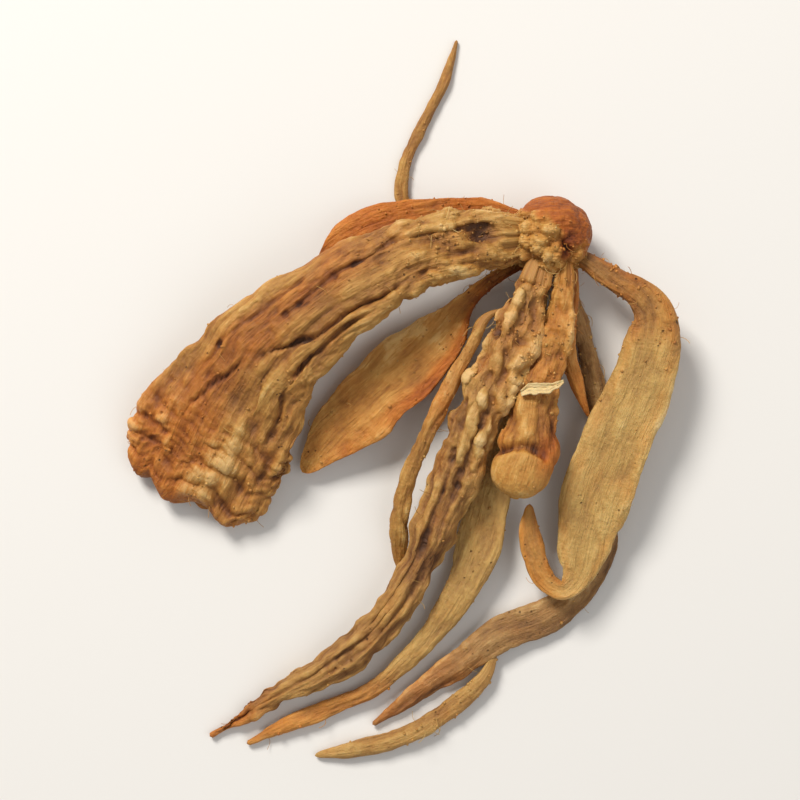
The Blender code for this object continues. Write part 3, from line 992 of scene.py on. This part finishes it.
def knob_stalk(skin):
    """A ribbed stalk that broadens into a brown fold round one side of a smooth golden head."""
    sideways = skin.across * skin.half_width
    from_head = np.hypot(sideways * 0.9, skin.from_tip - 1.5)
    head = 1 - rise(from_head, 1.45, 1.75)
    body = 1 - head
    beyond = rise(skin.from_tip, 1.2, 2.0)
    right = rise(-skin.across, 0.15, 0.6)
    swollen = 0.42 * hill(skin.from_tip, 1.7, 1.9) + 0.35 * hill(skin.along, 4.5, 3.0)
    skin.place(rim=skin.across * swollen, lift=0.25 * head * rise(skin.up, 0, 0.7))
    ribs = creased(skin.spots(0.12, 0.9, slant=0.3), 91)
    skin.carve((ribs - 0.5) * 0.26 * body, (ribs - 0.5) * 0.3 * body)
    # The arc is a groove round the head, darkened with painted shade.
    arc = hill(from_head, 1.85, 0.24) * beyond * (1 - 0.8 * right)
    fold = hill(from_head, 2.7, 0.55) * beyond
    skin.carve(0.16 * fold - 0.30 * arc, -0.55 * arc)
    lobe = right * hill(skin.from_tip, 3.2, 1.5)
    skin.shade = (skin.shade + 0.34 * head - 0.20 * lobe - 0.05 * fold
                  + 0.15 * hill(skin.from_tip, 6.3, 0.9))
    skin.stain = np.clip(0.10 + 0.3 * noise(skin.spots(0.4, 0.5), 87) + 0.10 * fold + 0.6 * lobe, 0, 1)
    skin.stain = skin.stain * (1 - head * (1 - lobe))
    return wrinkle(skin, folds=0.04 + 0.14 * body, crinkles=0.02 + 0.05 * body, lumpiness=0.7 * body)


def thread_stalk(skin):
    """Thin and smooth, with one painted highlight."""
    skin.stain = skin.stain + 0.5
    # A painted highlight about 5.6 mm along.
    skin.shade = skin.shade + 0.7 * hill(skin.along, 5.6, 0.8)
    return wrinkle(skin, folds=0.10, crinkles=0.03)


def tongue_stalk(skin):
    """A smooth pale tongue with a hollow middle, thin rims and a hooked end, on a stained root painted
    dark as shadow.
    """
    broad = hill(skin.along, 18, 9)
    ripple = 0.5 * skin.across ** 2 * noise(skin.spots(0.16, 0.12), 88) * broad
    skin.place(lift=skin.sunken(0.30) * broad + ripple)
    dents = noise(skin.spots(0.16, 0.5), 92)
    skin.carve(dents * 0.10 * broad, dents * 0.12 * broad)
    # Painted highlight along the broad middle, painted shadow on the root.
    skin.shade = skin.shade + 0.16 * broad - 0.55 * (1 - rise(skin.along, 5, 9))
    # Painted highlight along the rims.
    skin.shade = skin.shade + 0.3 * rise(np.abs(skin.across), 0.8, 0.98) * broad
    bent = rise(skin.along, skin.length - 8, skin.length - 5)
    inner, outer = rise(skin.across, -0.2, 0.5), rise(-skin.across, 0.4, 0.9)
    # Painted shade inside the hook's bend, painted highlight on its outside.
    skin.shade = skin.shade - 0.25 * bent * inner + 0.3 * bent * outer
    skin.stain = np.clip(0.5 * bent + 0.35 * (1 - rise(skin.along, 5, 10))
                         + 0.25 * hill(np.abs(skin.across), 0.75, 0.2), 0, 1)
    return wrinkle(skin, folds=0.08, fineness=0.6, crinkles=0.035)


def lower_stalk(skin):
    """Dull and brown, ridged along its length."""
    ribs = creased(skin.spots(0.08, 0.8), 89)
    skin.carve((ribs - 0.5) * 0.2, (ribs - 0.5) * 0.4)
    skin.stain = 0.5 * rise(skin.along, 28, 33)
    return wrinkle(skin, folds=0.14, crinkles=0.06)


def plain_stalk(skin):
    """A slender ridged stalk."""
    return wrinkle(skin, folds=0.12, crinkles=0.04)


FIRST_SEED = 3
BASE_ROOT = tuple(BASE_MIDDLE)
BOW_ROOT = (-3.3, -5.0, 3.6)
FORK_ROOT = (-3.7, -28.0, 0.6)

# Each stalk: its slot, what it grows from, how square its section is, how far its tip has withered,
# and how it is dried.
STALKS = {
    "broad_stalk": ("amber_flesh", BASE_ROOT, 0.8, 0.0, broad_stalk),
    "flap_stalk": ("orange_flesh", BASE_ROOT, 0.85, 0.3, flap_stalk),
    "blade_stalk": ("orange_flesh", BASE_ROOT, 0.85, 0.35, blade_stalk),
    "main_stalk": ("tan_flesh", BASE_ROOT, 1.0, 0.3, main_stalk),
    "bow_stalk": ("amber_flesh", BOW_ROOT, 1.0, 0.6, bow_stalk),
    "twin_stalk": ("pale_flesh", BASE_ROOT, 0.9, 0.4, twin_stalk),
    "knob_stalk": ("orange_flesh", BASE_ROOT, 1.0, 0.0, knob_stalk),
    "thread_stalk": ("orange_flesh", BASE_ROOT, 1.0, 0.6, thread_stalk),
    "tongue_stalk": ("pale_flesh", BASE_ROOT, 0.85, 0.5, tongue_stalk),
    "lower_stalk": ("brown_flesh", BASE_ROOT, 0.9, 0.5, lower_stalk),
    "fork_stalk": ("tan_flesh", FORK_ROOT, 0.9, 0.5, plain_stalk),
    "rising_stalk": ("amber_flesh", BASE_ROOT, 1.0, 0.5, plain_stalk),
}

# Tones from the deepest crease (painted shade) to the palest crest (painted highlight), as linear RGB.
FINISHES = {
    "orange_flesh": dried_flesh("orange flesh", (
        (0.045, 0.012, 0.003), (0.150, 0.046, 0.009), (0.300, 0.115, 0.021), (0.440, 0.195, 0.036),
        (0.540, 0.280, 0.065), (0.640, 0.400, 0.135)), dust_and_highlight=0.28, shine=0.34),
    "amber_flesh": dried_flesh("amber flesh", (
        (0.062, 0.021, 0.006), (0.150, 0.054, 0.012), (0.275, 0.116, 0.024), (0.390, 0.188, 0.039),
        (0.485, 0.268, 0.068), (0.580, 0.375, 0.130))),
    "tan_flesh": dried_flesh("tan flesh", (
        (0.070, 0.026, 0.008), (0.165, 0.064, 0.016), (0.285, 0.130, 0.031), (0.405, 0.210, 0.052),
        (0.500, 0.295, 0.086), (0.600, 0.400, 0.155))),
    "pale_flesh": dried_flesh("pale flesh", (
        (0.060, 0.024, 0.008), (0.190, 0.088, 0.024), (0.350, 0.185, 0.050), (0.480, 0.285, 0.080),
        (0.580, 0.380, 0.125), (0.700, 0.520, 0.250)), dust_and_highlight=0.2, streaks=0.6),
    "brown_flesh": dried_flesh("brown flesh", (
        (0.034, 0.013, 0.005), (0.120, 0.052, 0.016), (0.230, 0.110, 0.034), (0.320, 0.165, 0.050),
        (0.410, 0.230, 0.078), (0.520, 0.340, 0.135))),
}


def grow():
    """Makes each piece in place of its plain solid, then the crumbs and fibres on them."""
    skins = {"base": base_mesh()}
    slots = {"base": "orange_flesh"}
    for seed, node in enumerate(STALKS, start=FIRST_SEED):
        slots[node], grows_from, squareness, withering, dry = STALKS[node]
        skin = Skin(sections_of(node, grows_from), grows_from, seed, squareness, withering)
        skins[node] = dry(skin).mesh(node)
    host = joined("host", skins.values())
    crumbs = grown_on(host, "crumbs", crumbs_tree(FINISHES["tan_flesh"]), CRUMB_SIZES)
    fibres = grown_on(host, "fibres", fibres_tree(FINISHES["pale_flesh"]), FIBRE_SIZES)
    for node, mesh in skins.items():
        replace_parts(finished_piece(node, mesh, FINISHES[slots[node]]), node)
    finished_piece("crumbs", crumbs, FINISHES["tan_flesh"])
    finished_piece("fibres", fibres, FINISHES["pale_flesh"])
    finished_piece("flake", flake_mesh(), FINISHES["pale_flesh"])


# ---- floor, light and camera

# In metres, watts and linear RGB. Each light: its place from the clump's middle, width, power, colour.
LIGHTS = {
    "key": ((-0.16, 0.26, 0.26), 0.13, 1.9, (1.0, 0.97, 0.92)),
    "fill": ((0.25, -0.10, 0.35), 0.40, 0.5, (0.95, 0.97, 1.0)),
}
SURROUND_COLOUR = (1.0, 0.985, 0.96, 1)
SURROUND_STRENGTH = 0.36
FLOOR_COLOUR = (0.74, 0.72, 0.69, 1)
FLOOR_REACH = 1.5
LENS_LENGTH = 100
MARGIN = 1.07


def floor():
    """A plain pale floor."""
    mesh = bpy.data.meshes.new("floor")
    corners = [(x * FLOOR_REACH, y * FLOOR_REACH, 0) for x, y in ((-1, -1), (1, -1), (1, 1), (-1, 1))]
    mesh.from_pydata(corners, [], [(0, 1, 2, 3)])
    plain = Finish("pale floor")
    mesh.materials.append(plain.shown({"Base Color": FLOOR_COLOUR, "Roughness": 0.85}))
    added("floor", mesh)


def soft_light(name, place, towards, size, power, colour):
    """A square soft light that faces a point."""
    light = bpy.data.lights.new(name, "AREA")
    light.shape = "SQUARE"
    light.size = size
    light.energy = power
    light.color = colour
    lamp = added(name, light)
    lamp.location = place
    lamp.rotation_mode = "QUATERNION"
    lamp.rotation_quaternion = (Vector(towards) - Vector(place)).to_track_quat("-Z", "Y")


def studio():
    """Soft light from beyond the base, a weaker fill, a pale surround and a camera straight above."""
    scene = bpy.context.scene
    scene.view_settings.view_transform = "Standard"
    low, high = CAD_BOX
    middle = (low + high) / 2
    for name, (offset, *strength) in LIGHTS.items():
        soft_light(name, middle + Vector(offset), middle, *strength)
    world = bpy.data.worlds.new("surround")
    world.use_nodes = True
    sky = world.node_tree.nodes["Background"].inputs
    sky["Color"].default_value = SURROUND_COLOUR
    sky["Strength"].default_value = SURROUND_STRENGTH
    scene.world = world
    lens = bpy.data.cameras.new("camera")
    lens.lens = LENS_LENGTH
    lens.clip_start = 0.01
    camera = added("camera", lens)
    half_view = math.atan(lens.sensor_width / 2 / lens.lens)
    frame_half = max(high.x - low.x, high.y - low.y) / 2 * MARGIN
    camera.location = (middle.x, middle.y, high.z + frame_half / math.tan(half_view))
    scene.camera = camera


grow()
floor()
studio()
